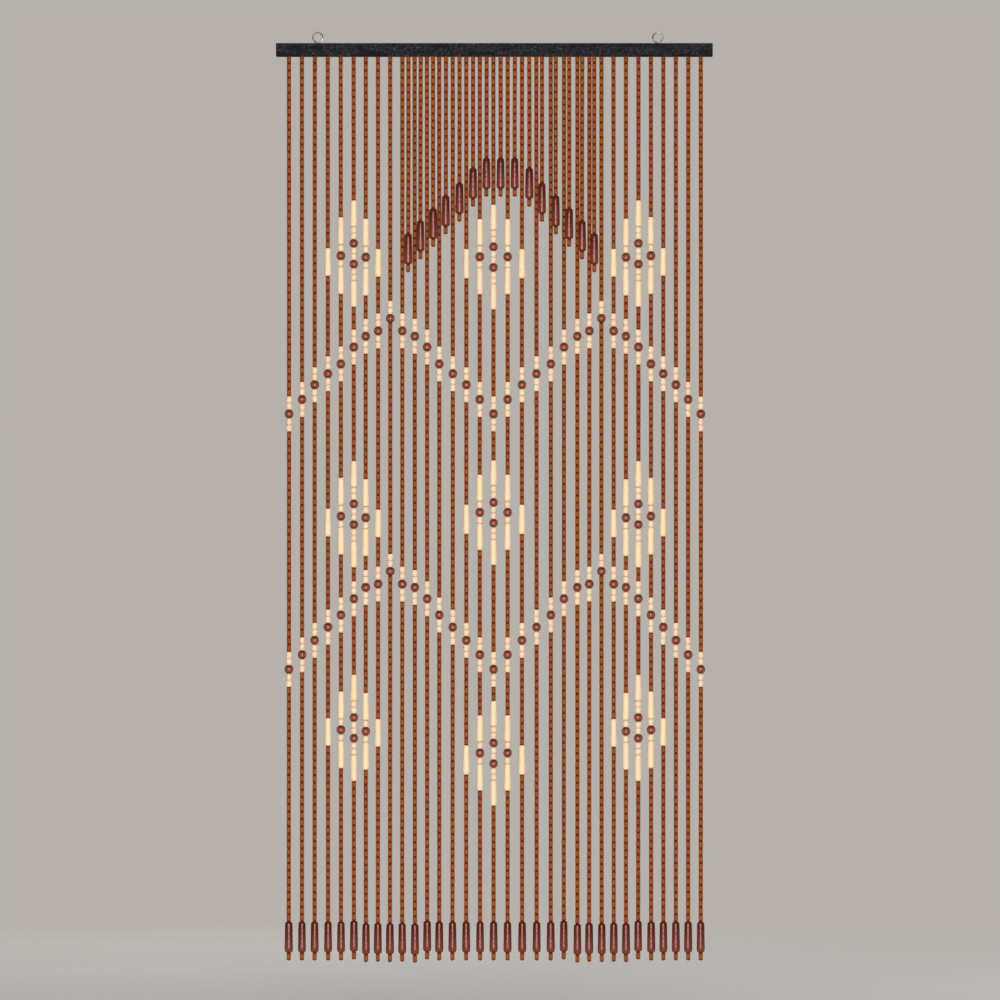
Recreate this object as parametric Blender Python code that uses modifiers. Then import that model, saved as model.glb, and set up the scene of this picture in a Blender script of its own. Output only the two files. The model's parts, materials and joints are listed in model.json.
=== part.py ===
# A bead curtain for a doorway: a dark wooden header rail that hangs from two screw eyes, and a comb
# of beaded strands whose spine is fixed inside a groove along the rail's underside.
#
# Metres, +Z up. The origin is over the middle of the rail, level with the centres of the eyes.
# +X runs along the rail, and -Y is the front.

import math
from collections import namedtuple

import bpy

MM = 0.001

# Header rail
RAIL_LENGTH = 900 * MM
RAIL_DEPTH = 24 * MM
RAIL_HEIGHT = 27 * MM
RAIL_EDGE = 1.2 * MM
GROOVE_LENGTH = 880 * MM
GROOVE_WIDTH = 19.6 * MM
GROOVE_DEPTH = 5.4 * MM

# Screw eyes
EYE_WIRE = 1.5 * MM             # half the wire's thickness
EYE_RING = 10.2 * MM            # from the ring's centre to the middle of its wire
EYE_ABOVE_RAIL = 0.5 * MM       # air between the ring and the rail
EYE_LEFT_X = -364 * MM
EYE_RIGHT_X = 337 * MM
SHANK = 1.8 * MM
SHANK_DEPTH = 13 * MM
SHANK_POINT = 4 * MM
SHANK_CLEARANCE = 0.35 * MM

# Levels worked out from the sizes above
RAIL_TOP = -(EYE_RING + EYE_WIRE + EYE_ABOVE_RAIL)
RAIL_BOTTOM = RAIL_TOP - RAIL_HEIGHT
GROOVE_CEILING = RAIL_BOTTOM + GROOVE_DEPTH

# Spine of the comb, inside the groove
SPINE_LENGTH = 872 * MM
SPINE_WIDTH = 12 * MM
SPINE_THICKNESS = 3 * MM
SPINE_GAP = 0.5 * MM            # air between the spine and the groove's ceiling
SPINE_Y = -0.7 * MM
SPINE_BOTTOM = GROOVE_CEILING - SPINE_GAP - SPINE_THICKNESS
TOOTH_ROOT = 1.3 * MM           # how far each strand reaches up into the spine

# Strands
SIDES = 6
LONG_STRANDS = 33
LONG_Y = 3.2 * MM
SHORT_Y = -4.6 * MM
BEAD_R = 4.7 * MM
BEAD_LENGTH = 15.2 * MM
CREAM_R = 6.8 * MM
TUBE_R = 7.1 * MM
CLUSTER_LENGTH = 72.5 * MM      # two cream rounds, a dark one and two more cream rounds
PEAK_LENGTH = 45 * MM           # two cream rounds and a dark one, at a zigzag's peak
SHOULDER = 2.5 * MM             # height over which a strand widens to its larger beads
CAPSULE_LENGTH = 64.5 * MM
CAPSULE_TOP_R = 7.7 * MM
CAPSULE_END_R = 8.3 * MM
LAST_BEAD_R = 4.2 * MM

CENTRE = LONG_STRANDS // 2
PERIOD = 16                     # strands from one peak of a zigzag to the next
FIRST_PEAK = 8

# Where strands leave the rail: strand number from the left, and its distance from the middle.
Post = namedtuple("Post", "strand x")
POSTS = (
    Post(0, -423.6 * MM),
    Post(5, -290.2 * MM),
    Post(9, -189.8 * MM),
    Post(12, -113.7 * MM),
    Post(16, -2.0 * MM),
    Post(20, 116.2 * MM),
    Post(22, 171.3 * MM),
    Post(25, 245.7 * MM),
    Post(32, 425.7 * MM),
)

# Zigzags: strands away from a peak, and how far below the rail each band's beads begin there.
Zigzag = namedtuple("Zigzag", "away upper lower")
ZIGZAGS = (
    Zigzag(0, 503.6 * MM, 1025.2 * MM),
    Zigzag(1, 529.3 * MM, 1051.4 * MM),
    Zigzag(2, 540.4 * MM, 1058.4 * MM),
    Zigzag(3, 562.7 * MM, 1081.7 * MM),
    Zigzag(4, 597.5 * MM, 1115.1 * MM),
    Zigzag(5, 617.6 * MM, 1140.3 * MM),
    Zigzag(6, 640.4 * MM, 1167.5 * MM),
    Zigzag(7, 670.6 * MM, 1197.2 * MM),
    Zigzag(8, 700.5 * MM, 1227.3 * MM),
)

# Diamonds: strands away from the diamond's own middle strand, counted towards the curtain's
# middle; how far its beads begin below the diamond's tip there; and their whole length.
Facet = namedtuple("Facet", "away below length")
SIDE_DIAMOND = (
    Facet(-2, 98.2 * MM, 57.8 * MM),
    Facet(-1, 34.4 * MM, 158.5 * MM),
    Facet(0, 0 * MM, 220 * MM),
    Facet(1, 37.5 * MM, 158.5 * MM),
    Facet(2, 100 * MM, 57.8 * MM),
)
CENTRE_DIAMOND = (
    Facet(-2, 91.5 * MM, 61 * MM),
    Facet(-1, 29.5 * MM, 155.5 * MM),
    Facet(0, 0 * MM, 216.5 * MM),
    Facet(1, 29.5 * MM, 155.5 * MM),
    Facet(2, 91.5 * MM, 61 * MM),
)

# Rows of diamonds: how far below the rail their tips are, at the sides and in the centre.
Row = namedtuple("Row", "side_tip centre_tip")
DIAMOND_ROWS = (
    Row(296.5 * MM, 305.2 * MM),
    Row(833.8 * MM, 832.4 * MM),
    Row(1274.4 * MM, 1328.6 * MM),
)
SIDE_DIAMOND_STRAND = 5

# Long strands end level, apart from these: strands away from the centre one, and how much lower.
TAIL_TOP = 1783.7 * MM
TAIL_DROPS = {5: -2 * MM, 6: 4 * MM, 7: 2.7 * MM, 8: 3.5 * MM, 9: 2.7 * MM, 10: 4 * MM, 11: -2 * MM}

# Short strands of the arch: strands away from its middle one, and how far down the capsule begins.
Arch = namedtuple("Arch", "away tail_top")
ARCH = (
    Arch(0, 209.1 * MM),
    Arch(1, 209.1 * MM),
    Arch(2, 229.1 * MM),
    Arch(3, 260.6 * MM),
    Arch(4, 286.4 * MM),
    Arch(5, 312.2 * MM),
    Arch(6, 337.8 * MM),
    Arch(7, 364.8 * MM),
)
ARCH_FIRST_GAP = 9              # the first short strand hangs after this long one
SHORT_STRANDS = 2 * len(ARCH) - 1
LEANING_FROM = 10               # from here on, short strands hang nearer the long one on their left
LEAN = 3.3 * MM
CLOSEST = 9.9 * MM


def clear_scene():
    for thing in list(bpy.data.objects):
        bpy.data.objects.remove(thing, do_unlink=True)


def new_collection(name):
    collection = bpy.data.collections.new(name)
    bpy.context.scene.collection.children.link(collection)
    return collection


def move_to(thing, collection):
    for old in list(thing.users_collection):
        old.objects.unlink(thing)
    collection.objects.link(thing)


def principled(name, color, roughness, metallic=0.0):
    material = bpy.data.materials.new(name)
    material.use_nodes = True
    shader = material.node_tree.nodes["Principled BSDF"]
    shader.inputs["Base Color"].default_value = (*color, 1.0)
    shader.inputs["Roughness"].default_value = roughness
    shader.inputs["Metallic"].default_value = metallic
    return material


def as_guide(thing, collection):
    thing.hide_render = True
    thing.display_type = "WIRE"
    move_to(thing, collection)


def box(name, size, centre):
    bpy.ops.mesh.primitive_cube_add(size=1, location=centre)
    thing = bpy.context.object
    thing.name = name
    thing.data.name = name
    for vertex in thing.data.vertices:
        vertex.co = [vertex.co[i] * size[i] for i in range(3)]
    return thing


def turned(name, profile, steps, location, turn=0.0):
    # A profile of (radius, height) pairs that runs down from the axis and back to it.
    mesh = bpy.data.meshes.new(name)
    points = [(radius, 0, height) for radius, height in profile]
    edges = [(i, i + 1) for i in range(len(points) - 1)]
    mesh.from_pydata(points, edges, [])
    thing = bpy.data.objects.new(name, mesh)
    thing.location = location
    thing.rotation_euler.z = turn
    bpy.context.scene.collection.objects.link(thing)
    screw = thing.modifiers.new("turn", "SCREW")
    screw.axis = "Z"
    screw.steps = steps
    screw.render_steps = steps
    screw.use_merge_vertices = True
    screw.merge_threshold = 0.00001
    screw.use_smooth_shade = True
    return thing


def boolean(thing, operation, other=None, collection=None):
    modifier = thing.modifiers.new(operation.lower(), "BOOLEAN")
    modifier.operation = operation
    modifier.solver = "EXACT"
    if collection is None:
        modifier.object = other
    else:
        modifier.operand_type = "COLLECTION"
        modifier.collection = collection


def build_rail(parts, cutters):
    middle = (RAIL_TOP + RAIL_BOTTOM) / 2
    rail = box("header_rail", (RAIL_LENGTH, RAIL_DEPTH, RAIL_HEIGHT), (0, 0, middle))
    bevel = rail.modifiers.new("eased edges", "BEVEL")
    bevel.width = RAIL_EDGE
    bevel.segments = 2

    # The groove's cutter is twice as deep as the groove, half of it below the rail.
    groove = box("groove", (GROOVE_LENGTH, GROOVE_WIDTH, 2 * GROOVE_DEPTH), (0, 0, RAIL_BOTTOM))
    as_guide(groove, cutters)
    boolean(rail, "DIFFERENCE", groove)

    for side, x in (("left", EYE_LEFT_X), ("right", EYE_RIGHT_X)):
        radius = SHANK + SHANK_CLEARANCE
        bottom = RAIL_TOP - SHANK_DEPTH - 1 * MM
        hole = turned(
            "hole_" + side,
            [(0, RAIL_TOP + 5 * MM), (radius, RAIL_TOP + 5 * MM), (radius, bottom), (0, bottom)],
            steps=16,
            location=(x, 0, 0),
        )
        as_guide(hole, cutters)
        boolean(rail, "DIFFERENCE", hole)

    rail.data.materials.append(principled("header", (0.021, 0.021, 0.023), 0.55))
    move_to(rail, parts)


def build_eye(name, x, parts, cutters):
    bpy.ops.mesh.primitive_torus_add(
        major_radius=EYE_RING,
        minor_radius=EYE_WIRE,
        major_segments=36,
        minor_segments=10,
        location=(x, 0, 0),
        rotation=(math.pi / 2, 0, 0),
    )
    eye = bpy.context.object
    eye.name = name
    eye.data.name = name

    # The shank starts inside the ring's wire and ends in a point inside the rail.
    top = -EYE_RING - 0.8 * MM
    tip = RAIL_TOP - SHANK_DEPTH
    shank = turned(
        name + "_shank",
        [(0, top), (SHANK, top), (SHANK, tip + SHANK_POINT), (0, tip)],
        steps=12,
        location=(x, 0, 0),
    )
    as_guide(shank, cutters)
    boolean(eye, "UNION", shank)
    eye.data.materials.append(principled(name + "_steel", (0.75, 0.74, 0.72), 0.22, 1.0))
    eye.data.shade_smooth()
    move_to(eye, parts)


def strand_x(strand):
    for left, right in zip(POSTS, POSTS[1:]):
        if strand <= right.strand:
            share = (strand - left.strand) / (right.strand - left.strand)
            return left.x + share * (right.x - left.x)


def short_strand_x(index):
    left = strand_x(ARCH_FIRST_GAP + index)
    middle = (left + strand_x(ARCH_FIRST_GAP + index + 1)) / 2
    if index < LEANING_FROM:
        return middle
    return max(middle - LEAN, left + CLOSEST)


def motif_runs(strand):
    # The stretches of larger beads on a long strand, as (drop below the rail, length, radius).
    runs = []
    away = abs((strand - FIRST_PEAK + PERIOD // 2) % PERIOD - PERIOD // 2)
    zigzag = ZIGZAGS[away]
    length = PEAK_LENGTH if away == 0 else CLUSTER_LENGTH
    runs.append((zigzag.upper, length, CREAM_R))
    runs.append((zigzag.lower, length, CREAM_R))

    mirrored = min(strand, LONG_STRANDS - 1 - strand)
    for row in DIAMOND_ROWS:
        for facet in SIDE_DIAMOND:
            if mirrored == SIDE_DIAMOND_STRAND + facet.away:
                runs.append((row.side_tip + facet.below, facet.length, TUBE_R))
        for facet in CENTRE_DIAMOND:
            if strand == CENTRE + facet.away:
                runs.append((row.centre_tip + facet.below, facet.length, TUBE_R))
    return sorted(runs)


def strand_profile(runs, tail_top):
    # From the root in the spine, past each stretch of larger beads, to the capsule and last bead.
    root = SPINE_BOTTOM + TOOTH_ROOT
    profile = [(0, root), (BEAD_R, root)]
    for drop, length, radius in runs:
        start = RAIL_BOTTOM - drop
        end = start - length
        profile += [
            (BEAD_R, start),
            (radius, start - SHOULDER),
            (radius, end + SHOULDER),
            (BEAD_R, end),
        ]
    capsule = RAIL_BOTTOM - tail_top
    capsule_end = capsule - CAPSULE_LENGTH
    profile += [
        (BEAD_R, capsule),
        (CAPSULE_TOP_R, capsule - 2 * SHOULDER),
        (CAPSULE_END_R, capsule_end + SHOULDER),
        (BEAD_R, capsule_end),
        (LAST_BEAD_R, capsule_end - BEAD_LENGTH),
        (0, capsule_end - BEAD_LENGTH),
    ]
    return profile


def build_comb(parts, teeth):
    # Turned by half a side, so that a strand's flat sides face its neighbours.
    turn = math.pi / SIDES
    for strand in range(LONG_STRANDS):
        tail_top = TAIL_TOP + TAIL_DROPS.get(abs(strand - CENTRE), 0)
        profile = strand_profile(motif_runs(strand), tail_top)
        place = (strand_x(strand), LONG_Y, 0)
        as_guide(turned("long_strand_%02d" % strand, profile, SIDES, place, turn), teeth)
    for index in range(SHORT_STRANDS):
        arch = ARCH[abs(index - SHORT_STRANDS // 2)]
        profile = strand_profile([], arch.tail_top)
        place = (short_strand_x(index), SHORT_Y, 0)
        as_guide(turned("short_strand_%02d" % index, profile, SIDES, place, turn), teeth)

    spine_middle = SPINE_BOTTOM + SPINE_THICKNESS / 2
    comb = box("bead_comb", (SPINE_LENGTH, SPINE_WIDTH, SPINE_THICKNESS), (0, SPINE_Y, spine_middle))
    boolean(comb, "UNION", collection=teeth)
    comb.data.materials.append(principled("beads", (0.40, 0.13, 0.035), 0.35))
    move_to(comb, parts)


def main():
    clear_scene()
    parts = new_collection("bead_curtain")
    cutters = new_collection("cutters")
    teeth = new_collection("strands")
    build_rail(parts, cutters)
    build_eye("eye_left", EYE_LEFT_X, parts, cutters)
    build_eye("eye_right", EYE_RIGHT_X, parts, cutters)
    build_comb(parts, teeth)


main()
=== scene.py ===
import json
import math
import random

import bmesh
import bpy
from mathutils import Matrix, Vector

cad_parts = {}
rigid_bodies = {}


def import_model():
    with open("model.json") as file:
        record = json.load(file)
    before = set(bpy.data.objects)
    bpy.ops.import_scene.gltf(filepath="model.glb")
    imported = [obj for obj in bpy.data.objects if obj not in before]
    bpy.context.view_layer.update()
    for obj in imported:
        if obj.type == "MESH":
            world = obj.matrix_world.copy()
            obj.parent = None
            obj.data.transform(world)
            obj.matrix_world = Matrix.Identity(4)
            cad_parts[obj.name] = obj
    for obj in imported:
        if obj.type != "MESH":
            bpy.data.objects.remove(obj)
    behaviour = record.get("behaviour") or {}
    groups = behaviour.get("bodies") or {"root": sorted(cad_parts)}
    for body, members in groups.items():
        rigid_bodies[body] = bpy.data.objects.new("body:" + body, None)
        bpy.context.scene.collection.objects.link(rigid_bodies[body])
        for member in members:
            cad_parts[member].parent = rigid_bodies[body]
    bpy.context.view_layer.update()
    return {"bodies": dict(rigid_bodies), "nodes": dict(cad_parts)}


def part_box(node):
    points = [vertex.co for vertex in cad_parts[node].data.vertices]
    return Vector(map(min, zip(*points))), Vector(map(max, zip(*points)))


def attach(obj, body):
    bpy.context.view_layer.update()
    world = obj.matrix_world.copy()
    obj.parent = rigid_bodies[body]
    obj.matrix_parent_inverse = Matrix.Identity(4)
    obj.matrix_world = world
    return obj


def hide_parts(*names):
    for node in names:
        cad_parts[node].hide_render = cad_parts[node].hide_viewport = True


mm = 0.001
tau = 2 * math.pi

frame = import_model()
railLow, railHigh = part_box("header_rail")
combLow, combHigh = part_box("bead_comb")
railBottom = railLow[2]
root = next(iter(frame["bodies"]))
print("frame loaded, rail's lower edge at", round(railBottom, 4))


# camera: level, straight in front, from far enough away that nothing converges

cameraView = {
    "distance": 12.0,
    "across": 2.062,        # width of what it takes in, at the curtain
    "sideways": 11.65 * mm,
    "belowRail": 914.3 * mm,
    "sensor": 36.0,
    "farthest": 100.0,      # nothing beyond this is seen
}


def makeCamera(c):
    data = bpy.data.cameras.new("camera")
    data.sensor_width = c["sensor"]
    data.lens = c["sensor"] * c["distance"] / c["across"]
    data.clip_end = c["farthest"]
    camera = bpy.data.objects.new("camera", data)
    camera.location = (c["sideways"], -c["distance"], railBottom - c["belowRail"])
    camera.rotation_euler = (math.pi / 2, 0, 0)
    bpy.context.scene.collection.objects.link(camera)
    bpy.context.scene.camera = camera


makeCamera(cameraView)


# strands: where each hangs, and what is strung on it from top to bottom

strands = {
    "long": 33,
    "centre": 16,
    "longY": 3.2 * mm,
    "shortY": -4.6 * mm,
    "firstBead": -1.9 * mm,     # the first bead starts a little inside the rail's groove
    "swing": 0.7 * mm,          # how far a strand's end hangs off its plumb line
    "bow": 0.4 * mm,
    "pushedForward": 2.2 * mm,  # the short strands' capsules rest against the long strands
    "zigzagPeriod": 16,
    "firstPeak": 8,
    "sideDiamond": 5,           # the middle strand of the side diamonds
    "archFirst": 9,             # the first short strand hangs after this long one
    "leaningFrom": 10,          # short strands from here on lean towards their left neighbour
    "lean": 3.3 * mm,
    "closest": 9.9 * mm,
    "hueSpread": 0.11,          # how much the strands' colours differ
    "longSeed": 100,
    "shortSeed": 200,
}

# distance from the middle of the rail, by strand; the ones between are evenly spaced
postsMm = {
    0: -423.6,
    5: -290.2,
    9: -189.8,
    12: -113.7,
    16: -2.0,
    20: 116.2,
    22: 171.3,
    25: 245.7,
    32: 425.7,
}

beadLengths = {
    "small": 15.2 * mm,
    "cream": 13.7 * mm,
    "dark": 17.7 * mm,
    "capsule": 64.3 * mm,
}
shorterBeads = {"cream": 12.9 * mm, "dark": 16.9 * mm}      # on a diamond's middle strand

# drop below the rail at which the upper and lower zigzags begin, by strands from a peak
zigzagsMm = {
    0: (503.6, 1025.2),
    1: (529.3, 1051.4),
    2: (540.4, 1058.4),
    3: (562.7, 1081.7),
    4: (597.5, 1115.1),
    5: (617.6, 1140.3),
    6: (640.4, 1167.5),
    7: (670.6, 1197.2),
    8: (700.5, 1227.3),
}

# drop of each row's diamond tips, at the sides and in the centre
diamondTipsMm = ((296.5, 305.2), (833.8, 832.4), (1274.4, 1328.6))

# by strands from the diamond's middle one, counted inwards: drop below the tip, length of a tube
sideDiamondMm = {-2: (98.2, 57.8), -1: (34.4, 57), 0: (0, 54.3), 1: (37.5, 57), 2: (100, 57.8)}
centreDiamondMm = {-2: (91.5, 61), -1: (29.5, 55.4), 0: (0, 52.6), 1: (29.5, 55.4), 2: (91.5, 61)}
lowerRowEdgeMm = -8.7           # the side diamonds' outermost tubes sit higher in the lowest row

# what is strung across a diamond, by strands from its middle one
diamondStrings = {
    0: ("tube", "cream", "cream", "dark", "cream", "cream", "dark", "cream", "cream", "tube"),
    1: ("tube", "cream", "dark", "cream", "tube"),
    2: ("tube",),
}
zigzagString = ("cream", "cream", "dark", "cream", "cream")

# drop of the capsules: the long strands', and the arch's by strands from its middle one
capsuleDropMm = 1783.6
capsuleExtraMm = {5: -2, 6: 4.5, 7: 2.7, 8: 3.5, 9: 2.7, 10: 3.6, 11: -2}
archMm = {0: 209.1, 1: 209.1, 2: 229.5, 3: 260.5, 4: 286.5, 5: 312.5, 6: 338, 7: 364.6}

# strands whose small beads are shorter down to their first motif
shortBeaded = {5: 14.3 * mm, 11: 14.3 * mm, 21: 14.3 * mm, 27: 14.3 * mm}


def strandX(k):
    posts = sorted(postsMm)
    for left, right in zip(posts, posts[1:]):
        if k <= right:
            share = (k - left) / (right - left)
            return (postsMm[left] + share * (postsMm[right] - postsMm[left])) * mm


def shortStrandX(i):
    left = strandX(strands["archFirst"] + i)
    middle = (left + strandX(strands["archFirst"] + i + 1)) / 2
    if i < strands["leaningFrom"]:
        return middle
    return max(middle - strands["lean"], left + strands["closest"])


def motifs(k):
    # the larger beads on a long strand, as (drop, [(kind, length), ...])
    found = []
    period = strands["zigzagPeriod"]
    fromPeak = abs((k - strands["firstPeak"] + period // 2) % period - period // 2)
    string = zigzagString[:3] if fromPeak == 0 else zigzagString
    for drop in zigzagsMm[fromPeak]:
        found.append((drop * mm, [(kind, beadLengths[kind]) for kind in string]))

    fromSide = min(k, strands["long"] - 1 - k) - strands["sideDiamond"]
    fromCentre = k - strands["centre"]
    for row, tips in enumerate(diamondTipsMm):
        for tip, away, diamond in (
            (tips[0], fromSide, sideDiamondMm),
            (tips[1], fromCentre, centreDiamondMm),
        ):
            if away not in diamond:
                continue
            below, tube = diamond[away]
            if diamond is sideDiamondMm and row == 2 and abs(away) == 2:
                below += lowerRowEdgeMm
            lengths = dict(beadLengths, tube=tube * mm)
            if away == 0:
                lengths.update(shorterBeads)
            string = diamondStrings[abs(away)]
            found.append(((tip + below) * mm, [(kind, lengths[kind]) for kind in string]))
    return sorted(found)


def stringUp(found, capsuleDrop, firstPitch):
    # every bead from top to bottom, as (kind, drop of its upper end, length)
    string = []
    drop = strands["firstBead"]
    pitch = firstPitch
    for start, larger in found + [(capsuleDrop, [("capsule", beadLengths["capsule"])])]:
        count = round((start - drop) / pitch)
        length = (start - drop) / count
        string += [("small", drop + i * length, length) for i in range(count)]
        drop = start
        for kind, length in larger:
            string.append((kind, drop, length))
            drop += length
        pitch = beadLengths["small"]
    string.append(("small", drop, beadLengths["small"]))
    return string


class Strand:
    # One thread with its beads; it hangs plumb apart from a slight swing and bow.
    def __init__(self, name, x, y, string, seed, forward=0):
        chance = random.Random(seed)
        self.name = name
        self.top = Vector((x, y, railBottom))
        self.string = string
        self.length = string[-1][1] + string[-1][2]
        self.swing = Vector([chance.uniform(-1, 1) * strands["swing"] for _ in range(2)])
        if forward:
            self.swing.y = -forward
        self.bow = Vector([chance.uniform(-1, 1) * strands["bow"] for _ in range(2)])
        self.hue = chance.gauss(0, strands["hueSpread"])

    def at(self, drop):
        share = max(drop, 0) / self.length
        aside = self.swing * share ** 2 + self.bow * math.sin(math.pi * share)
        return self.top + Vector((aside.x, aside.y, -drop))


def makeStrands():
    made = []
    for k in range(strands["long"]):
        capsule = (capsuleDropMm + capsuleExtraMm.get(abs(k - strands["centre"]), 0)) * mm
        pitch = shortBeaded.get(k, beadLengths["small"])
        string = stringUp(motifs(k), capsule, pitch)
        seed = strands["longSeed"] + k
        made.append(Strand("long_%02d" % k, strandX(k), strands["longY"], string, seed))
    for i in range(2 * len(archMm) - 1):
        capsule = archMm[abs(i - len(archMm) + 1)] * mm
        string = stringUp([], capsule, beadLengths["small"])
        place = (shortStrandX(i), strands["shortY"])
        seed = strands["shortSeed"] + i
        made.append(Strand("short_%02d" % i, *place, string, seed, strands["pushedForward"]))
    return made


allStrands = makeStrands()
longStrands = [s for s in allStrands if s.name.startswith("long")]
shortStrands = [s for s in allStrands if s.name.startswith("short")]
print("strands:", len(longStrands), "long and", len(shortStrands), "short")


# finishes

class Wire:
    # One output of a shader tree; arithmetic on it adds Math nodes.
    def __init__(self, finish, socket):
        self.finish = finish
        self.socket = socket

    def combine(self, operation, first, second=None):
        values = [first] if second is None else [first, second]
        return self.finish.node("Math", {"operation": operation}, dict(enumerate(values)))

    def __add__(self, other):
        return self.combine("ADD", self, other)

    def __radd__(self, other):
        return self.combine("ADD", other, self)

    def __sub__(self, other):
        return self.combine("SUBTRACT", self, other)

    def __rsub__(self, other):
        return self.combine("SUBTRACT", other, self)

    def __mul__(self, other):
        return self.combine("MULTIPLY", self, other)

    def __rmul__(self, other):
        return self.combine("MULTIPLY", other, self)

    def __abs__(self):
        return self.combine("ABSOLUTE", self)

    def step(self, start, end):
        values = {"Value": self, "From Min": start, "From Max": end}
        return self.finish.node("MapRange", {"interpolation_type": "SMOOTHSTEP"}, values)


class Finish:
    def __init__(self, name):
        self.material = bpy.data.materials.new(name)
        self.material.use_nodes = True
        self.tree = self.material.node_tree
        self.surface = self.tree.nodes["Principled BSDF"]

    def node(self, kind, settings=None, values=None, output=0):
        made = self.tree.nodes.new("ShaderNode" + kind)
        for key, value in (settings or {}).items():
            if key == "stops":
                self.fillRamp(made.color_ramp, value)
            else:
                setattr(made, key, value)
        for key, value in (values or {}).items():
            self.feed(made.inputs[key], value)
        return Wire(self, made.outputs[output])

    def fillRamp(self, ramp, stops):
        while len(ramp.elements) < len(stops):
            ramp.elements.new(1.0)
        for element, (position, color) in zip(ramp.elements, stops):
            element.position = position
            element.color = (*color, 1.0)

    def feed(self, socket, value):
        if isinstance(value, Wire):
            self.tree.links.new(value.socket, socket)
        elif socket.type == "RGBA":
            socket.default_value = (*value, 1.0)
        else:
            socket.default_value = value

    def mix(self, factor, first, second, way="MIX"):
        settings = {"data_type": "RGBA", "blend_type": way}
        return self.node("Mix", settings, {0: factor, 6: first, 7: second}, output=2)

    def place(self, scale=(1, 1, 1), turn=(0, 0, 0)):
        here = self.node("TexCoord", output="Object")
        return self.node("Mapping", {}, {"Vector": here, "Scale": scale, "Rotation": turn})

    def noise(self, scale, detail=2.0, turn=(0, 0, 0), roughness=0.5):
        values = {"Vector": self.place(scale, turn), "Scale": 1.0}
        values.update(Detail=detail, Roughness=roughness)
        return self.node("TexNoise", {}, values)

    def shaded(self, color, depth):
        grey = self.node("CombineColor", {}, {0: depth, 1: depth, 2: depth})
        return self.mix(1.0, color, grey, "MULTIPLY")

    def attribute(self, name):
        return self.node("Attribute", {"attribute_name": name}, output="Fac")

    def set(self, **sockets):
        for name, value in sockets.items():
            self.feed(self.surface.inputs[name.replace("_", " ")], value)

    def bump(self, height, strength, distance):
        values = {"Height": height, "Strength": strength, "Distance": distance}
        self.set(Normal=self.node("Bump", {}, values, output="Normal"))


beadFinish = {
    "ochre": (0.235, 0.081, 0.019),
    "orange": (0.272, 0.0725, 0.020),
    "russet": (0.263, 0.051, 0.023),
    "brown": (0.200, 0.047, 0.013),
    "orangeAt": 0.4,            # where these two lie in the row of colours, from ochre to brown
    "russetAt": 0.72,
    # painted shade where neighbouring beads meet: each bead darkens to this colour towards its
    # ends
    "end": (0.100, 0.0070, 0.0002),
    "paintedShadeFrom": 0.47,            # share of the half length at which the painted shade at the end begins
    "paintedShadeTo": 0.88,
    "sheen": (1.0, 0.62, 0.40),
    "bloom": 0.85,              # how much lighter a bead's edges are than its middle
    "bloomColor": (1.0, 0.44, 0.17),
    "bloomRoughness": 0.45,
    "roughness": 0.46,
    "duller": 0.16,             # how much rougher the grain makes it
    "specular": 0.18,
    "grain": (1400, 1400, 190),
    "blotch": (260, 260, 160),
    "darkest": 0.62,            # share of the colour where there is neither grain nor blotch
    "grainDepth": 0.5,
    "blotchDepth": 0.26,
    "bump": 0.25,
    "relief": 0.2 * mm,
}


def makeBeadFinish(c):
    f = Finish("bead_orange_wood")
    tint = f.attribute("tint")
    stops = [
        (0.0, c["ochre"]),
        (c["orangeAt"], c["orange"]),
        (c["russetAt"], c["russet"]),
        (1.0, c["brown"]),
    ]
    shade = f.node("ValToRGB", {"stops": stops}, {"Fac": tint})
    grain = f.noise(c["grain"], detail=3.0)
    blotch = f.noise(c["blotch"], detail=1.0)
    depth = c["darkest"] + c["grainDepth"] * grain + c["blotchDepth"] * blotch
    wood = f.shaded(shade, depth)
    # painted shade: the colour darkens towards each bead's ends, where it meets its neighbours
    along = abs(f.attribute("along"))
    f.set(
        Base_Color=f.mix(along.step(c["paintedShadeFrom"], c["paintedShadeTo"]), wood, c["end"]),
        Roughness=c["roughness"] + c["duller"] * grain,
        Specular_IOR_Level=c["specular"],
        Specular_Tint=c["sheen"],
        Sheen_Weight=c["bloom"],
        Sheen_Roughness=c["bloomRoughness"],
        Sheen_Tint=c["bloomColor"],
    )
    f.bump(grain, c["bump"], c["relief"])
    return f.material


creamFinish = {
    "pale": (0.87, 0.69, 0.47),
    "yellow": (0.91, 0.70, 0.405),
    "pink": (0.85, 0.62, 0.445),
    "paleAt": 0.45,             # where it lies in the row of colours, from pink to yellow
    # painted shade where neighbouring beads meet, towards each bead's ends
    "end": (0.50, 0.30, 0.15),
    "paintedShadeFrom": 0.88,
    "paintedShadeStrength": 0.5,
    "roughness": 0.42,
    "duller": 0.12,
    "specular": 0.35,
    "grain": (900, 900, 60),
    "darkest": 0.86,
    "grainDepth": 0.26,
    "bump": 0.2,
    "relief": 0.2 * mm,
}


def makeCreamFinish(c):
    f = Finish("bead_cream_wood")
    tint = f.attribute("tint")
    stops = [(0.0, c["pink"]), (c["paleAt"], c["pale"]), (1.0, c["yellow"])]
    shade = f.node("ValToRGB", {"stops": stops}, {"Fac": tint})
    grain = f.noise(c["grain"], detail=4.0)
    wood = f.shaded(shade, c["darkest"] + c["grainDepth"] * grain)
    # painted shade at the ends, where the beads meet
    end = abs(f.attribute("along")).step(c["paintedShadeFrom"], 1.0) * c["paintedShadeStrength"]
    f.set(
        Base_Color=f.mix(end, wood, c["end"]),
        Roughness=c["roughness"] + c["duller"] * grain,
        Specular_IOR_Level=c["specular"],
    )
    f.bump(grain, c["bump"], c["relief"])
    return f.material


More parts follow.
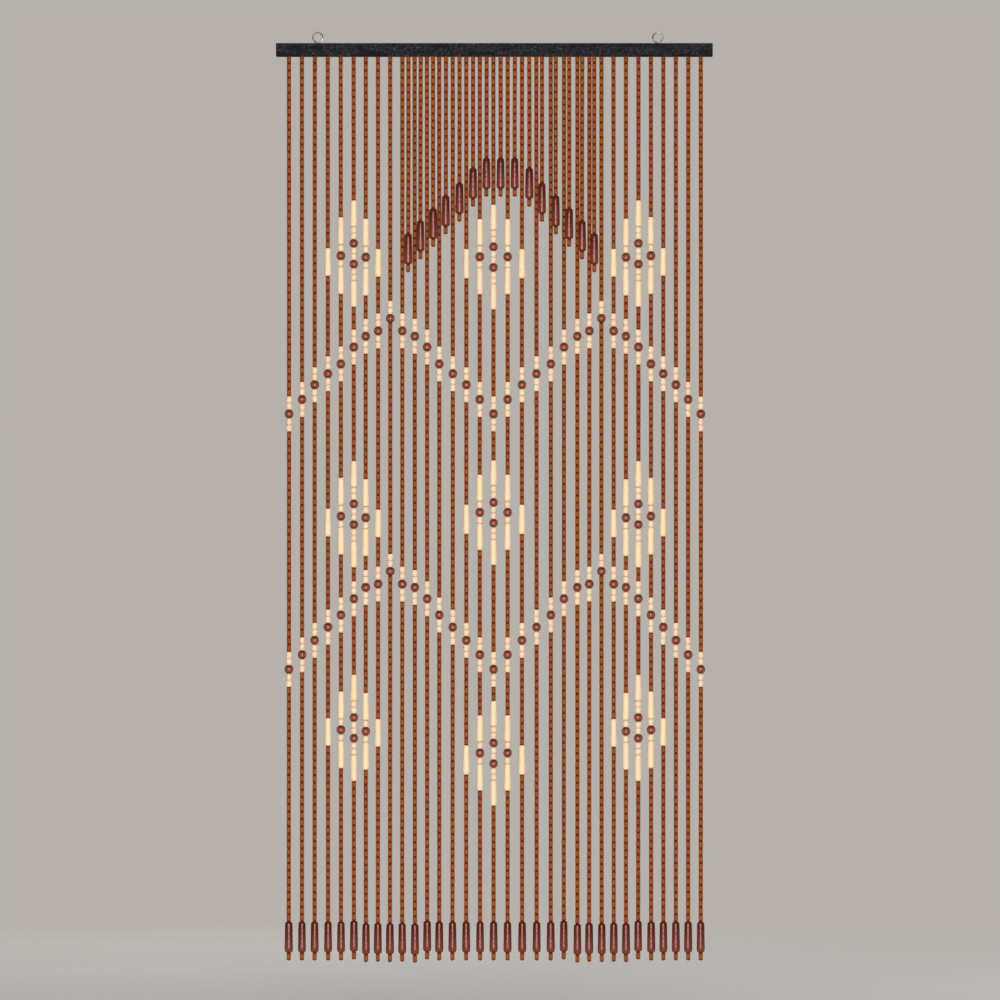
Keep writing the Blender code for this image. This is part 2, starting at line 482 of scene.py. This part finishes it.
lacquer = {
    "dark": (0.080, 0.0095, 0.0045),
    "red": (0.165, 0.034, 0.020),
    "waist": (0.250, 0.060, 0.033),     # the round beads' colour round their middle
    # painted shade at the beads' ends, near-black where neighbouring beads meet
    "paintedEndShade": (0.050, 0.0038, 0.0010),
    "sheen": (1.0, 0.60, 0.55),
    "bloom": 0.22,
    "bloomColor": (1.0, 0.26, 0.17),
    "roundLevel": 1.0,          # how much light the round beads and the capsules mirror
    "capsuleLevel": 0.80,
    "roughness": 0.15,
    "duller": 0.1,
    "streak": (500, 500, 80),
    "wave": (160, 160, 90),
    "belt": (0.25, 0.85),       # painted shade: a round bead darkens between these, from its middle to its ends
    "beltLeast": 0.8,
    "beltStreaks": 0.4,
    "glowing": (0.2, 0.85),     # painted glow: a capsule reddens and lightens between these, from its upper end to its lower
    "glowLeast": 0.6,
    "glowStreaks": 0.8,
    "tip": (0.84, 0.99),        # and gets painted shade between these, from its middle to its ends
    "ripples": 19.2,            # shallow turning marks along a capsule
    "rippleHeight": 0.22,
    "bump": 0.3,
    "relief": 0.5 * mm,
}


def makeLacquer(name, c, isRound):
    f = Finish(name)
    streak = f.noise(c["streak"], detail=3.0)
    wave = f.noise(c["wave"], detail=1.0)
    along = f.attribute("along")
    if isRound:
        # painted shade: the round beads darken from their middle towards their poles
        belt = 1 - abs(along).step(*c["belt"])
        body = f.mix(belt * (c["beltLeast"] + c["beltStreaks"] * streak), c["paintedEndShade"], c["waist"])
    else:
        # painted glow: the capsule's lower part lightened and reddened as if light came through
        # the lacquer
        glow = f.attribute("glow").step(*c["glowing"])
        glow = glow * (c["glowLeast"] + c["glowStreaks"] * streak)
        body = f.mix(glow, c["dark"], c["red"])
        # painted shade at the capsule's ends
        body = f.mix(abs(along).step(*c["tip"]), body, c["paintedEndShade"])
        ripple = f.node("Math", {"operation": "COSINE"}, {0: along * c["ripples"]})
        wave = wave + c["rippleHeight"] * ripple
    f.set(
        Base_Color=body,
        Roughness=c["roughness"] + c["duller"] * streak,
        Specular_IOR_Level=c["roundLevel"] if isRound else c["capsuleLevel"],
        Specular_Tint=c["sheen"],
        Sheen_Weight=c["bloom"],
        Sheen_Tint=c["bloomColor"],
    )
    f.bump(wave, c["bump"], c["relief"])
    return f.material


railFinish = {
    "black": (0.0055, 0.0055, 0.0070),
    "charcoal": (0.013, 0.013, 0.016),
    "grey": (0.040, 0.042, 0.048),
    "green": (0.012, 0.024, 0.018),
    "violet": (0.026, 0.024, 0.034),
    "fleck": (0.13, 0.14, 0.16),
    "speckle": 3.2 * mm,        # size of the flecks
    "mottle": 0.55,             # how fine the mottle and the colour casts are, by the flecks
    "cast": 0.22,
    "mottleRoughness": 0.62,
    "blackAt": 0.36,            # how much mottle gives each of its colours
    "charcoalAt": 0.50,
    "greyAt": 0.70,
    "castEdges": (0.52, 0.70),
    "violetStrength": 0.55,
    "greenStrength": 0.5,
    "fleckEdges": (0.64, 0.80),
    "fleckStrength": 0.8,
    "smear": 48 * mm,           # long dark smears, at a slope
    "smearSlope": math.radians(38),
    "smearThinness": 3.2,
    "smearEdges": (0.50, 0.66),
    "smearStrength": 0.7,
    "roughness": 0.55,
    "duller": 0.2,
    "specular": 0.06,
    "bump": 0.3,
    "relief": 0.3 * mm,
}


def makeRailFinish(c):
    f = Finish("rail_mottled_charcoal")
    fine = 1 / c["speckle"]
    mottle = f.noise((fine * c["mottle"],) * 3, detail=4.0, roughness=c["mottleRoughness"])
    stops = [
        (c["blackAt"], c["black"]),
        (c["charcoalAt"], c["charcoal"]),
        (c["greyAt"], c["grey"]),
    ]
    stone = f.node("ValToRGB", {"stops": stops}, {"Fac": mottle})
    cast = f.noise((fine * c["cast"],) * 3, detail=1.0)
    stone = f.mix(cast.step(*c["castEdges"]) * c["violetStrength"], stone, c["violet"])
    stone = f.mix((1 - cast).step(*c["castEdges"]) * c["greenStrength"], stone, c["green"])
    spot = f.noise((fine,) * 3, detail=1.0)
    stone = f.mix(spot.step(*c["fleckEdges"]) * c["fleckStrength"], stone, c["fleck"])
    long = 1 / c["smear"]
    stretched = (long, long, long * c["smearThinness"])
    smear = f.noise(stretched, detail=2.0, turn=(0, c["smearSlope"], 0))
    stone = f.mix(smear.step(*c["smearEdges"]) * c["smearStrength"], stone, c["black"])
    f.set(
        Base_Color=stone,
        Roughness=c["roughness"] + c["duller"] * mottle,
        Specular_IOR_Level=c["specular"],
    )
    f.bump(mottle, c["bump"], c["relief"])
    return f.material


wireFinish = {
    # painted highlights: the wire's colour is lighter in patches and duller between them,
    # standing in for its glints
    "bright": (0.68, 0.57, 0.52),
    "dull": (0.28, 0.21, 0.18),
    "glintPatch": 12 * mm,
    "glintPatchEdges": (0.38, 0.60),
    "glintLeast": 0.8,
    "glintScratches": 0.3,
    "scratch": (700, 700, 700),
    "roughness": 0.24,
    "duller": 0.10,
    "bump": 0.04,
    "relief": 0.1 * mm,
}


def makeWireFinish(c):
    f = Finish("eye_bright_wire")
    scratch = f.noise(c["scratch"], detail=2.0)
    # painted highlights: patches of bright and dull colour along the wire
    glintPatch = f.noise((1 / c["glintPatch"],) * 3, detail=1.0)
    paintedGlint = glintPatch.step(*c["glintPatchEdges"]) * (c["glintLeast"] + c["glintScratches"] * scratch)
    f.set(
        Base_Color=f.mix(paintedGlint, c["dull"], c["bright"]),
        Metallic=1.0,
        Roughness=c["roughness"] + c["duller"] * scratch,
    )
    f.bump(scratch, c["bump"], c["relief"])
    return f.material


threadFinish = {
    "dark": (0.05, 0.02, 0.008),
    "light": (0.16, 0.08, 0.035),
    "grain": (900, 900, 1500),
    "roughness": 0.85,
    "bump": 0.5,
    "relief": 0.1 * mm,
}

battenFinish = {
    "dark": (0.010, 0.008, 0.007),
    "light": (0.045, 0.032, 0.024),
    "grain": (30, 900, 900),
    "roughness": 0.6,
    "bump": 0.4,
    "relief": 0.2 * mm,
}


def makePlainFinish(name, c, detail):
    f = Finish(name)
    grain = f.noise(c["grain"], detail=detail)
    f.set(Base_Color=f.mix(grain, c["dark"], c["light"]), Roughness=c["roughness"])
    f.bump(grain, c["bump"], c["relief"])
    return f.material


orangeWood = makeBeadFinish(beadFinish)
creamWood = makeCreamFinish(creamFinish)
capsuleLacquer = makeLacquer("bead_capsule_lacquer", lacquer, isRound=False)
roundLacquer = makeLacquer("bead_round_lacquer", lacquer, isRound=True)
mottledRail = makeRailFinish(railFinish)
brightWire = makeWireFinish(wireFinish)
brownThread = makePlainFinish("thread_brown_cotton", threadFinish, detail=2.0)
darkBatten = makePlainFinish("heading_dark_wood", battenFinish, detail=3.0)
print("finishes made")


# threads: each hangs from the heading batten and ends in a knot under its last bead

thread = {
    "thickness": 1.1 * mm,
    "points": 24,
    "roundness": 1,
    "intoBatten": 2.6 * mm,     # how far above the rail's lower edge a thread starts
    "belowBead": 0.5 * mm,
}


def makeThread(strand, c):
    start = -c["intoBatten"]
    end = strand.length + c["belowBead"]
    drops = [start + (end - start) * i / (c["points"] - 1) for i in range(c["points"])]
    data = bpy.data.curves.new("thread_" + strand.name, "CURVE")
    data.dimensions = "3D"
    data.bevel_depth = c["thickness"] / 2
    data.bevel_resolution = c["roundness"]
    data.use_fill_caps = True
    line = data.splines.new("POLY")
    line.points.add(c["points"] - 1)
    for point, drop in zip(line.points, drops):
        point.co = (*strand.at(drop), 1.0)
    data.materials.append(brownThread)
    made = bpy.data.objects.new(data.name, data)
    bpy.context.scene.collection.objects.link(made)
    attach(made, root)
    return made, end - start


for strand in longStrands:
    made, length = makeThread(strand, thread)
    tuple(strand.at(-thread["intoBatten"]))
for strand in shortStrands:
    makeThread(strand, thread)
print("threads hung")


# beads: turned once each, then strung by Geometry Nodes

beadShapes = {
    # sides, and (radius, height above the middle) in mm from the upper end to the lower
    "small": (10, ((3.8, 7.6), (4.4, 6.9), (4.65, 4.6), (4.65, -4.6), (4.4, -6.9), (3.8, -7.6))),
    "cream": (12, ((4.1, 6.85), (5.8, 5.2), (6.6, 0), (5.8, -5.2), (4.1, -6.85))),
    "dark": (
        14,
        (
            (3.2, 8.85), (6.0, 7.4), (8.1, 4.9), (9.2, 1.7),
            (9.2, -1.7), (8.1, -4.9), (6.0, -7.4), (3.2, -8.85),
        ),
    ),
    "tube": (
        16,
        (
            (5.7, 28), (6.35, 27.6), (6.5, 26.8), (6.55, 15), (6.8, 2), (7.2, -10),
            (7.45, -20), (7.4, -23.5), (6.7, -26.3), (5.2, -27.7), (2.8, -28),
        ),
    ),
    "capsule": (
        18,
        (
            (2.4, 32.15), (5.0, 31.4), (6.8, 29.9), (7.5, 27.6), (7.75, 24), (8.0, 10),
            (8.3, -8), (8.6, -20), (8.6, -25.5), (8.1, -28.8), (6.6, -31.0), (3.2, -32.15),
        ),
    ),
    "knot": (8, ((0.5, 1.0), (1.2, 0.4), (1.2, -0.4), (0.5, -1.0))),
}


def turnBead(name, sides, outline):
    bead = bmesh.new()
    along = bead.verts.layers.float.new("along")
    glow = bead.verts.layers.float.new("glow")
    half = outline[0][1]
    rings = []
    for radius, height in outline:
        ring = []
        for j in range(sides):
            angle = tau * j / sides
            place = (radius * math.cos(angle) * mm, radius * math.sin(angle) * mm, height * mm)
            vertex = bead.verts.new(place)
            vertex[along] = height / half
            vertex[glow] = 0.5 - 0.5 * height / half      # painted glow, redder towards the lower end
            ring.append(vertex)
        rings.append(ring)
    for upper, lower in zip(rings, rings[1:]):
        for j in range(sides):
            after = (j + 1) % sides
            bead.faces.new((upper[j], lower[j], lower[after], upper[after]))
    bead.faces.new(rings[0])
    bead.faces.new(list(reversed(rings[-1])))
    mesh = bpy.data.meshes.new(name)
    bead.to_mesh(mesh)
    bead.free()
    made = bpy.data.objects.new(name, mesh)
    bpy.context.scene.collection.objects.link(made)
    return made


def stringingTree():
    tree = bpy.data.node_groups.new("bead_stringing", "GeometryNodeTree")
    wanted = (
        ("Geometry", "NodeSocketGeometry"),
        ("Bead", "NodeSocketObject"),
        ("Lean", "NodeSocketFloat"),
        ("Seed", "NodeSocketInt"),
        ("Finish", "NodeSocketMaterial"),
    )
    for name, kind in wanted:
        tree.interface.new_socket(name, in_out="INPUT", socket_type=kind)
    tree.interface.new_socket("Geometry", in_out="OUTPUT", socket_type="NodeSocketGeometry")

    def add(kind, **links):
        node = tree.nodes.new(kind)
        for name, source in links.items():
            tree.links.new(source, node.inputs[name.replace("_", " ")])
        return node

    given = add("NodeGroupInput").outputs
    bead = add("GeometryNodeObjectInfo", Object=given["Bead"]).outputs["Geometry"]

    # each bead turns at random on the thread and leans a little
    other = tree.nodes.new("ShaderNodeMath")
    other.operation = "MULTIPLY"
    other.inputs[1].default_value = -1
    tree.links.new(given["Lean"], other.inputs[0])
    least = add("ShaderNodeCombineXYZ", X=other.outputs[0], Y=other.outputs[0])
    most = add("ShaderNodeCombineXYZ", X=given["Lean"], Y=given["Lean"])
    most.inputs["Z"].default_value = tau
    turn = tree.nodes.new("FunctionNodeRandomValue")
    turn.data_type = "FLOAT_VECTOR"
    tree.links.new(least.outputs[0], turn.inputs["Min"])
    tree.links.new(most.outputs[0], turn.inputs["Max"])
    tree.links.new(given["Seed"], turn.inputs["Seed"])
    rotation = add("FunctionNodeEulerToRotation", Euler=turn.outputs["Value"]).outputs[0]

    size = tree.nodes.new("GeometryNodeInputNamedAttribute")
    size.data_type = "FLOAT_VECTOR"
    size.inputs["Name"].default_value = "size"
    strung = add(
        "GeometryNodeInstanceOnPoints",
        Points=given["Geometry"],
        Instance=bead,
        Rotation=rotation,
        Scale=size.outputs["Attribute"],
    ).outputs[0]
    smooth = add("GeometryNodeSetShadeSmooth", Geometry=strung).outputs[0]
    real = add("GeometryNodeRealizeInstances", Geometry=smooth).outputs[0]
    finished = add("GeometryNodeSetMaterial", Geometry=real, Material=given["Finish"]).outputs[0]
    add("NodeGroupOutput", Geometry=finished)
    return tree


stringing = stringingTree()


def stringBeads(name, kind, beads, finish, lean, seed):
    # beads are (place, (girth, girth, stretch), tint)
    points = bpy.data.meshes.new(name)
    points.from_pydata([place for place, size, tint in beads], [], [])
    sizes = points.attributes.new("size", "FLOAT_VECTOR", "POINT")
    sizes.data.foreach_set("vector", [value for place, size, tint in beads for value in size])
    tints = points.attributes.new("tint", "FLOAT", "POINT")
    tints.data.foreach_set("value", [tint for place, size, tint in beads])
    made = bpy.data.objects.new(name, points)
    bpy.context.scene.collection.objects.link(made)

    template = turnBead("template_" + kind, *beadShapes[kind])
    modifier = made.modifiers.new("stringing", "NODES")
    modifier.node_group = stringing
    given = {"Bead": template, "Lean": lean, "Seed": seed, "Finish": finish}
    for socket in stringing.interface.items_tree:
        if socket.in_out == "INPUT" and socket.name in given:
            modifier[socket.identifier] = given[socket.name]
    depsgraph = bpy.context.evaluated_depsgraph_get()
    mesh = bpy.data.meshes.new_from_object(made.evaluated_get(depsgraph), depsgraph=depsgraph)
    made.modifiers.clear()
    made.data = mesh
    mesh.name = name
    bpy.data.objects.remove(template)
    bpy.data.meshes.remove(points)
    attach(made, root)
    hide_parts("bead_comb")
    print(name, len(beads), "beads,", len(mesh.polygons), "faces")


variety = {
    "girth": 0.025,
    "tint": 0.13,
    "lean": math.radians(1.2),
    # each kind's usual tint, its place in its finish's row of colours
    "usual": {"small": 0.40, "cream": 0.30, "tube": 0.62, "dark": 0.5, "capsule": 0.5},
    "smallSeed": 10,
    "knotSeed": 8,
}


def beadsOf(kind, group, seed):
    chance = random.Random(seed)
    found = []
    sides, outline = beadShapes[kind]
    nominal = (outline[0][1] - outline[-1][1]) * mm
    usual = variety["usual"][kind]
    for strand in group:
        for beadKind, drop, length in strand.string:
            if beadKind != kind:
                continue
            girth = 1 + chance.uniform(-1, 1) * variety["girth"]
            tint = usual + strand.hue + chance.gauss(0, variety["tint"])
            size = (girth, girth, length / nominal)
            found.append((strand.at(drop + length / 2), size, min(max(tint, 0), 1)))
    return found


smallGroups = {
    "left": longStrands[:11],
    "middle": longStrands[11:22],
    "right": longStrands[22:],
    "arch": shortStrands,
}
for number, (place, group) in enumerate(smallGroups.items()):
    beads = beadsOf("small", group, variety["smallSeed"] + number)
    stringBeads("small_beads_" + place, "small", beads, orangeWood, variety["lean"], number)

largerBeads = (
    # piece, kind, strands, finish, lean, seeds of their colours and of their turns
    ("cream_rounds", "cream", longStrands, creamWood, variety["lean"], 20, 4),
    ("cream_tubes", "tube", longStrands, creamWood, 0.0, 21, 5),
    ("dark_rounds", "dark", longStrands, roundLacquer, variety["lean"], 22, 6),
    ("capsules", "capsule", allStrands, capsuleLacquer, 0.0, 23, 7),
)
for name, kind, group, finish, lean, colorSeed, turnSeed in largerBeads:
    stringBeads(name, kind, beadsOf(kind, group, colorSeed), finish, lean, turnSeed)
knots = [(s.at(s.length + thread["belowBead"]), (1, 1, 1), 0.5) for s in allStrands]
stringBeads("end_knots", "knot", knots, brownThread, 0.0, variety["knotSeed"])


# heading batten inside the rail's groove, which the threads hang from

batten = {
    "width": 12 * mm,
    "y": -0.7 * mm,
    "bevel": 0.6 * mm,
    "bevelSteps": 2,
}


def makeBatten(c):
    # its underside is where the first beads start
    low = railBottom - strands["firstBead"]
    size = Vector((combHigh[0] - combLow[0], c["width"], combHigh[2] - low))
    middle = Vector((0, c["y"], (combHigh[2] + low) / 2))
    bar = bmesh.new()
    bmesh.ops.create_cube(bar, size=1)
    for vertex in bar.verts:
        vertex.co = Vector([vertex.co[i] * size[i] for i in range(3)]) + middle
    steps = c["bevelSteps"]
    bmesh.ops.bevel(bar, geom=bar.edges[:], offset=c["bevel"], segments=steps, affect="EDGES")
    mesh = bpy.data.meshes.new("heading_batten")
    bar.to_mesh(mesh)
    bar.free()
    mesh.materials.append(darkBatten)
    made = bpy.data.objects.new("heading_batten", mesh)
    bpy.context.scene.collection.objects.link(made)
    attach(made, root)
    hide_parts("bead_comb")


makeBatten(batten)


# screw eyes: one wire each, up from the shank, round the ring and back to it

eye = {
    "wire": 1.5 * mm,
    "shank": 1.75 * mm,
    "opening": math.radians(17),    # from straight down to each end of the ring's arc
    "ringPoints": 56,
    "roundness": 4,
    "weld": 0.01 * mm,              # points closer than this become one
    "point": 0.25,                  # thickness at the shank's lower end, by the wire's
    "pointHeight": 3.5 * mm,
    "pointGap": 0.2 * mm,
    "collar": (-1 * mm, 0.2 * mm),  # where the shank turns into wire, from the rail's top
}


def makeEye(side, c):
    low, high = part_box("eye_" + side)
    x = (low[0] + high[0]) / 2
    ring = (high[0] - low[0]) / 2 - c["wire"]
    railTop = railHigh[2]
    shank = c["shank"] / c["wire"]
    route = [
        (x, low[2] + c["pointGap"], c["point"]),
        (x, low[2] + c["pointHeight"], shank),
        (x, railTop + c["collar"][0], shank),
        (x, railTop + c["collar"][1], 1.0),
    ]
    for i in range(c["ringPoints"]):
        share = i / (c["ringPoints"] - 1)
        angle = -math.pi / 2 - c["opening"] - share * (tau - 2 * c["opening"])
        route.append((x + ring * math.cos(angle), ring * math.sin(angle), 1.0))
    data = bpy.data.curves.new("wire", "CURVE")
    data.dimensions = "3D"
    data.bevel_depth = c["wire"]
    data.bevel_resolution = c["roundness"]
    data.use_fill_caps = True
    line = data.splines.new("POLY")
    line.points.add(len(route) - 1)
    for point, (across, up, thickness) in zip(line.points, route):
        point.co = (across, 0, up, 1)
        point.radius = thickness
    guide = bpy.data.objects.new("wire", data)
    bpy.context.scene.collection.objects.link(guide)
    depsgraph = bpy.context.evaluated_depsgraph_get()
    mesh = bpy.data.meshes.new_from_object(guide.evaluated_get(depsgraph))
    bpy.data.objects.remove(guide)
    shape = bmesh.new()
    shape.from_mesh(mesh)
    bmesh.ops.remove_doubles(shape, verts=shape.verts[:], dist=c["weld"])
    bmesh.ops.recalc_face_normals(shape, faces=shape.faces[:])
    shape.to_mesh(mesh)
    shape.free()
    mesh.shade_smooth()
    mesh.materials.clear()
    mesh.materials.append(brightWire)
    mesh.name = "screw_eye_" + side
    made = bpy.data.objects.new("screw_eye_" + side, mesh)
    bpy.context.scene.collection.objects.link(made)
    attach(made, root)
    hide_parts("eye_" + side)


makeEye("left", eye)
makeEye("right", eye)


# the rail keeps its shape and gets its finish

rail = frame["nodes"]["header_rail"]
rail.data.materials.clear()
rail.data.materials.append(mottledRail)
print("rail and eyes finished")


# floor, light and surroundings

studio = {
    "floorZ": -2.06,
    "floorRadius": 3.4,
    "floorClear": 1.4,          # the floor fades out from here to its rim
    "floorColor": (0.86, 0.85, 0.83),
    "floorRoughness": 0.8,
    "floorSides": 96,
    "backdrop": (0.47, 0.44, 0.41),
    "ambient": (0.95, 0.96, 1.0),
    "ambientStrength": 0.15,
}

lamps = {
    # place, what it points at, width, height, power, colour
    "key": ((0.0, -4.2, -0.96), (0.0, 0.0, -0.96), 2.9, 2.5, 156, (1.0, 0.97, 0.94)),
    "fill": ((-4.2, -3.6, 0.2), (0.0, 0.0, -1.2), 2.6, 2.6, 22, (1.0, 0.99, 0.97)),
    "rim": ((3.4, 1.7, -0.7), (0.0, 0.0, -0.95), 1.2, 2.4, 40, (1.0, 0.97, 0.93)),
    "top": ((0.4, -1.2, 2.0), (0.0, 0.0, -0.8), 2.0, 1.4, 24, (1.0, 0.98, 0.95)),
    "back": ((-1.2, 4.2, -0.4), (0.0, 0.0, -0.95), 2.4, 2.4, 60, (1.0, 0.98, 0.96)),
}
glossyLamps = ("key",)       # the others light without showing in the lacquer


def makeFloor(c):
    disc = bmesh.new()
    sides = c["floorSides"]
    bmesh.ops.create_circle(disc, cap_ends=True, segments=sides, radius=c["floorRadius"])
    for vertex in disc.verts:
        vertex.co.z = c["floorZ"]
    mesh = bpy.data.meshes.new("floor")
    disc.to_mesh(mesh)
    disc.free()
    f = Finish("floor_pale")
    f.set(Base_Color=c["floorColor"], Roughness=c["floorRoughness"])
    flat = f.node("VectorMath", {"operation": "MULTIPLY"}, {0: f.place(), 1: (1, 1, 0)})
    away = f.node("VectorMath", {"operation": "LENGTH"}, {0: flat}, output="Value")
    clear = f.node("BsdfTransparent")
    share = away.step(c["floorClear"], c["floorRadius"])
    faded = f.node("MixShader", {}, {0: share, 1: Wire(f, f.surface.outputs[0]), 2: clear})
    f.tree.links.new(faded.socket, f.tree.nodes["Material Output"].inputs["Surface"])
    mesh.materials.append(f.material)
    floor = bpy.data.objects.new("floor", mesh)
    bpy.context.scene.collection.objects.link(floor)


def makeSurroundings(c):
    world = bpy.data.worlds.new("studio")
    bpy.context.scene.world = world
    world.use_nodes = True
    tree = world.node_tree
    shade = tree.nodes["Background"]
    shade.inputs["Color"].default_value = (*c["ambient"], 1)
    shade.inputs["Strength"].default_value = c["ambientStrength"]
    seen = tree.nodes.new("ShaderNodeBackground")
    seen.inputs["Color"].default_value = (*c["backdrop"], 1)
    path = tree.nodes.new("ShaderNodeLightPath")
    either = tree.nodes.new("ShaderNodeMixShader")
    tree.links.new(path.outputs["Is Camera Ray"], either.inputs[0])
    tree.links.new(shade.outputs[0], either.inputs[1])
    tree.links.new(seen.outputs[0], either.inputs[2])
    tree.links.new(either.outputs[0], tree.nodes["World Output"].inputs["Surface"])


def makeLamp(name, place, target, width, height, power, color):
    data = bpy.data.lights.new(name, "AREA")
    data.shape = "RECTANGLE"
    data.size = width
    data.size_y = height
    data.energy = power
    data.color = color
    lamp = bpy.data.objects.new(name, data)
    lamp.location = place
    lamp.rotation_euler = (Vector(target) - Vector(place)).to_track_quat("-Z", "Y").to_euler()
    lamp.visible_glossy = name in glossyLamps
    bpy.context.scene.collection.objects.link(lamp)


makeFloor(studio)
makeSurroundings(studio)
for name, settings in lamps.items():
    makeLamp(name, *settings)
bpy.context.scene.view_settings.view_transform = "Standard"
print("studio lit")
